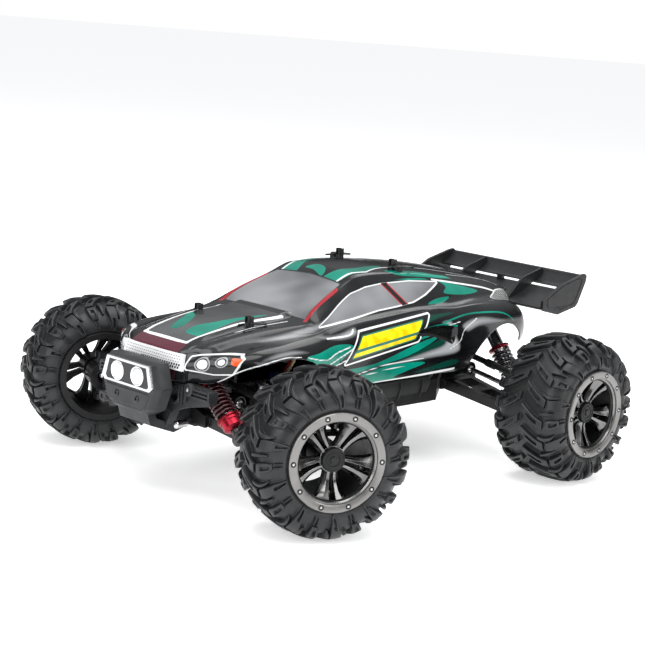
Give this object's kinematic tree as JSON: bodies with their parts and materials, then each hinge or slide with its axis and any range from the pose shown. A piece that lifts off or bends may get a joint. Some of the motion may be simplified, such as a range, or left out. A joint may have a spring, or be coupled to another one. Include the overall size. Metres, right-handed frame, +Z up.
{
  "type": "radio-controlled monster truck",
  "caption": "Four-wheel-drive radio-controlled monster truck with big lugged tyres, sprung arms, steering front wheels, rear wing and lift-off body shell.",
  "frame": {"origin": "on the ground under the truck, on the centre line, at the middle of the overall length", "axes": "-Y is the way the truck drives, +X its left side, +Z up"},
  "size_m": [0.3342, 0.398, 0.147],
  "materials": {
    "tyre_rubber": "matt moulded rubber",
    "rim_plated": "dark plated plastic",
    "steel": "turned steel",
    "chassis_black": "moulded black nylon",
    "arm_black": "moulded black nylon",
    "bumper_grey": "moulded dark grey nylon",
    "shell_paint": "clear skin painted black and teal from inside",
    "wing_black": "fine-grained black plastic",
    "shock_black": "black anodised",
    "shock_red": "red anodised",
    "spring_wire": "black coated wire",
    "motor_can": "plated can",
    "pinion_brass": "machined",
    "battery_wrap": "shrink wrap",
    "clip_wire": "black spring wire"
  },
  "bodies": {
    "chassis": {"chassis_tub": "chassis_black", "front_gearbox": "chassis_black", "rear_gearbox": "chassis_black", "front_shock_tower": "chassis_black", "rear_shock_tower": "chassis_black", "front_bumper": "bumper_grey", "headlamp_unit": "bumper_grey", "wing": "wing_black", "motor": "motor_can", "battery": "battery_wrap", "steering_servo": "chassis_black"},
    "shell": {"body_shell": "shell_paint", "body_clips": "clip_wire"},
    "centre_shaft": {"centre_shaft": "steel"},
    "pinion": {"motor_pinion": "pinion_brass"},
    "rack": {"steering_rack": "chassis_black"},
    "tie_l": {"tie_rod_l": "chassis_black"},
    "tie_r": {"tie_rod_r": "chassis_black"},
    "arm_fl": {"lower_arm_fl": "arm_black"},
    "link_fl": {"upper_link_fl": "arm_black"},
    "shaft_fl": {"driveshaft_fl": "steel"},
    "chub_fl": {"c_hub_fl": "arm_black"},
    "knuckle_fl": {"knuckle_fl": "arm_black"},
    "wheel_fl": {"tyre_fl": "tyre_rubber", "rim_fl": "rim_plated", "axle_fl": "steel"},
    "shock_fl": {"shock_body_fl": "shock_black", "spring_fl": "spring_wire"},
    "rod_fl": {"shock_rod_fl": "shock_red"},
    "arm_fr": {"lower_arm_fr": "arm_black"},
    "link_fr": {"upper_link_fr": "arm_black"},
    "shaft_fr": {"driveshaft_fr": "steel"},
    "chub_fr": {"c_hub_fr": "arm_black"},
    "knuckle_fr": {"knuckle_fr": "arm_black"},
    "wheel_fr": {"tyre_fr": "tyre_rubber", "rim_fr": "rim_plated", "axle_fr": "steel"},
    "shock_fr": {"shock_body_fr": "shock_black", "spring_fr": "spring_wire"},
    "rod_fr": {"shock_rod_fr": "shock_red"},
    "arm_rl": {"lower_arm_rl": "arm_black"},
    "link_rl": {"upper_link_rl": "arm_black"},
    "shaft_rl": {"driveshaft_rl": "steel"},
    "carrier_rl": {"hub_carrier_rl": "arm_black"},
    "wheel_rl": {"tyre_rl": "tyre_rubber", "rim_rl": "rim_plated", "axle_rl": "steel"},
    "shock_rl": {"shock_body_rl": "shock_black", "spring_rl": "spring_wire"},
    "rod_rl": {"shock_rod_rl": "shock_red"},
    "arm_rr": {"lower_arm_rr": "arm_black"},
    "link_rr": {"upper_link_rr": "arm_black"},
    "shaft_rr": {"driveshaft_rr": "steel"},
    "carrier_rr": {"hub_carrier_rr": "arm_black"},
    "wheel_rr": {"tyre_rr": "tyre_rubber", "rim_rr": "rim_plated", "axle_rr": "steel"},
    "shock_rr": {"shock_body_rr": "shock_black", "spring_rr": "spring_wire"},
    "rod_rr": {"shock_rod_rr": "shock_red"}
  },
  "joints": [
    {"name": "shell_lift", "type": "slide", "parent": "chassis", "child": "shell", "axis": [0, 0, 1], "range_m": [0, 0.12]},
    {"name": "centre_shaft_spin", "type": "hinge", "parent": "chassis", "child": "centre_shaft", "pos_m": [0, 0.049, 0.062], "axis": [0, 1, 0], "continuous": true},
    {"name": "pinion_spin", "type": "hinge", "parent": "chassis", "child": "pinion", "pos_m": [-0.0196, 0.049, 0.062], "axis": [0, 1, 0], "continuous": true},
    {"name": "rack_slide", "type": "slide", "parent": "chassis", "child": "rack", "axis": [1, 0, 0], "range_m": [-0.0134, 0]},
    {"name": "arm_fl", "type": "hinge", "parent": "chassis", "child": "arm_fl", "pos_m": [0.024, -0.1345, 0.05], "axis": [0, -1, 0], "range_deg": [-8, 16], "stiffness_Nm_per_rad": 3, "springref_deg": -5.16},
    {"name": "link_fl", "type": "hinge", "parent": "chassis", "child": "link_fl", "pos_m": [0.024, -0.1345, 0.074], "axis": [0, -1, 0], "range_deg": [-8, 16]},
    {"name": "shaft_fl", "type": "hinge", "parent": "chassis", "child": "shaft_fl", "pos_m": [0.037, -0.1345, 0.062], "axis": [0, -1, 0], "range_deg": [-8, 16]},
    {"name": "chub_fl", "type": "hinge", "parent": "arm_fl", "child": "chub_fl", "pos_m": [0.09, -0.1345, 0.04], "axis": [0, -1, 0], "range_deg": [-16, 8]},
    {"name": "steer_fl", "type": "hinge", "parent": "chub_fl", "child": "knuckle_fl", "pos_m": [0.103, -0.1345, 0.052], "axis": [0, 0, 1], "range_deg": [0, 49]},
    {"name": "wheel_fl", "type": "hinge", "parent": "knuckle_fl", "child": "wheel_fl", "pos_m": [0.12302, -0.14362, 0.052], "axis": [0.91, -0.4147, 0], "continuous": true},
    {"name": "shock_fl", "type": "hinge", "parent": "chassis", "child": "shock_fl", "pos_m": [0.028, -0.1585, 0.083], "axis": [0, -1, 0], "range_deg": [-6, 11]},
    {"name": "rod_fl", "type": "slide", "parent": "shock_fl", "child": "rod_fl", "axis": [-0.7442, 0, 0.6679], "range_m": [-0.0055, 0.0105], "deforming": ["spring_fl"]},
    {"name": "arm_fr", "type": "hinge", "parent": "chassis", "child": "arm_fr", "pos_m": [-0.024, -0.1345, 0.05], "axis": [0, 1, 0], "range_deg": [-8, 16], "stiffness_Nm_per_rad": 3, "springref_deg": -5.16},
    {"name": "link_fr", "type": "hinge", "parent": "chassis", "child": "link_fr", "pos_m": [-0.024, -0.1345, 0.074], "axis": [0, 1, 0], "range_deg": [-8, 16]},
    {"name": "shaft_fr", "type": "hinge", "parent": "chassis", "child": "shaft_fr", "pos_m": [-0.037, -0.1345, 0.062], "axis": [0, 1, 0], "range_deg": [-8, 16]},
    {"name": "chub_fr", "type": "hinge", "parent": "arm_fr", "child": "chub_fr", "pos_m": [-0.09, -0.1345, 0.04], "axis": [0, 1, 0], "range_deg": [-16, 8]},
    {"name": "steer_fr", "type": "hinge", "parent": "chub_fr", "child": "knuckle_fr", "pos_m": [-0.103, -0.1345, 0.052], "axis": [0, 0, 1], "range_deg": [0, 49]},
    {"name": "wheel_fr", "type": "hinge", "parent": "knuckle_fr", "child": "wheel_fr", "pos_m": [-0.12302, -0.12538, 0.052], "axis": [0.91, -0.4147, 0], "continuous": true},
    {"name": "shock_fr", "type": "hinge", "parent": "chassis", "child": "shock_fr", "pos_m": [-0.028, -0.1585, 0.083], "axis": [0, 1, 0], "range_deg": [-6, 11]},
    {"name": "rod_fr", "type": "slide", "parent": "shock_fr", "child": "rod_fr", "axis": [0.7442, 0, 0.6679], "range_m": [-0.0055, 0.0105], "deforming": ["spring_fr"]},
    {"name": "arm_rl", "type": "hinge", "parent": "chassis", "child": "arm_rl", "pos_m": [0.024, 0.1005, 0.05], "axis": [0, -1, 0], "range_deg": [-8, 16], "stiffness_Nm_per_rad": 3, "springref_deg": -5.16},
    {"name": "link_rl", "type": "hinge", "parent": "chassis", "child": "link_rl", "pos_m": [0.024, 0.1005, 0.074], "axis": [0, -1, 0], "range_deg": [-8, 16]},
    {"name": "shaft_rl", "type": "hinge", "parent": "chassis", "child": "shaft_rl", "pos_m": [0.037, 0.1005, 0.062], "axis": [0, -1, 0], "range_deg": [-8, 16]},
    {"name": "carrier_rl", "type": "hinge", "parent": "arm_rl", "child": "carrier_rl", "pos_m": [0.09, 0.1005, 0.04], "axis": [0, -1, 0], "range_deg": [-16, 8]},
    {"name": "wheel_rl", "type": "hinge", "parent": "carrier_rl", "child": "wheel_rl", "pos_m": [0.125, 0.1005, 0.052], "axis": [1, 0, 0], "continuous": true},
    {"name": "shock_rl", "type": "hinge", "parent": "chassis", "child": "shock_rl", "pos_m": [0.03, 0.1245, 0.094], "axis": [0, -1, 0], "range_deg": [-6, 11]},
    {"name": "rod_rl", "type": "slide", "parent": "shock_rl", "child": "rod_rl", "axis": [-0.6268, 0, 0.7792], "range_m": [-0.0055, 0.0105], "deforming": ["spring_rl"]},
    {"name": "arm_rr", "type": "hinge", "parent": "chassis", "child": "arm_rr", "pos_m": [-0.024, 0.1005, 0.05], "axis": [0, 1, 0], "range_deg": [-8, 16], "stiffness_Nm_per_rad": 3, "springref_deg": -5.16},
    {"name": "link_rr", "type": "hinge", "parent": "chassis", "child": "link_rr", "pos_m": [-0.024, 0.1005, 0.074], "axis": [0, 1, 0], "range_deg": [-8, 16]},
    {"name": "shaft_rr", "type": "hinge", "parent": "chassis", "child": "shaft_rr", "pos_m": [-0.037, 0.1005, 0.062], "axis": [0, 1, 0], "range_deg": [-8, 16]},
    {"name": "carrier_rr", "type": "hinge", "parent": "arm_rr", "child": "carrier_rr", "pos_m": [-0.09, 0.1005, 0.04], "axis": [0, 1, 0], "range_deg": [-16, 8]},
    {"name": "wheel_rr", "type": "hinge", "parent": "carrier_rr", "child": "wheel_rr", "pos_m": [-0.125, 0.1005, 0.052], "axis": [1, 0, 0], "continuous": true},
    {"name": "shock_rr", "type": "hinge", "parent": "chassis", "child": "shock_rr", "pos_m": [-0.03, 0.1245, 0.094], "axis": [0, 1, 0], "range_deg": [-6, 11]},
    {"name": "rod_rr", "type": "slide", "parent": "shock_rr", "child": "rod_rr", "axis": [0.6268, 0, 0.7792], "range_m": [-0.0055, 0.0105], "deforming": ["spring_rr"]},
    {"name": "tie_l", "type": "hinge", "parent": "rack", "child": "tie_l", "pos_m": [0.04364, -0.11924, 0.073], "axis": [0, -1, 0], "range_deg": [-8, 16]},
    {"name": "tie_r", "type": "hinge", "parent": "rack", "child": "tie_r", "pos_m": [-0.03036, -0.11924, 0.073], "axis": [0, 1, 0], "range_deg": [-8, 16]}
  ],
  "couplings": [
    {"joint": "pinion_spin", "follows": "centre_shaft_spin", "ratio": -2},
    {"joint": "rack_slide", "follows": "steer_fl", "m_per_rad": -0.015517},
    {"joint": "link_fl", "follows": "arm_fl", "ratio": 1},
    {"joint": "shaft_fl", "follows": "arm_fl", "ratio": 1},
    {"joint": "chub_fl", "follows": "arm_fl", "ratio": -1},
    {"joint": "shock_fl", "follows": "arm_fl", "ratio": 0.65},
    {"joint": "rod_fl", "follows": "arm_fl", "m_per_rad": 0.028},
    {"joint": "link_fr", "follows": "arm_fr", "ratio": 1},
    {"joint": "shaft_fr", "follows": "arm_fr", "ratio": 1},
    {"joint": "chub_fr", "follows": "arm_fr", "ratio": -1},
    {"joint": "steer_fr", "follows": "steer_fl", "ratio": 1},
    {"joint": "shock_fr", "follows": "arm_fr", "ratio": 0.65},
    {"joint": "rod_fr", "follows": "arm_fr", "m_per_rad": 0.028},
    {"joint": "link_rl", "follows": "arm_rl", "ratio": 1},
    {"joint": "shaft_rl", "follows": "arm_rl", "ratio": 1},
    {"joint": "carrier_rl", "follows": "arm_rl", "ratio": -1},
    {"joint": "shock_rl", "follows": "arm_rl", "ratio": 0.48},
    {"joint": "rod_rl", "follows": "arm_rl", "m_per_rad": 0.033},
    {"joint": "link_rr", "follows": "arm_rr", "ratio": 1},
    {"joint": "shaft_rr", "follows": "arm_rr", "ratio": 1},
    {"joint": "carrier_rr", "follows": "arm_rr", "ratio": -1},
    {"joint": "shock_rr", "follows": "arm_rr", "ratio": 0.48},
    {"joint": "rod_rr", "follows": "arm_rr", "m_per_rad": 0.033},
    {"joint": "tie_l", "follows": "arm_fl", "ratio": 1},
    {"joint": "tie_r", "follows": "arm_fr", "ratio": 1}
  ]
}
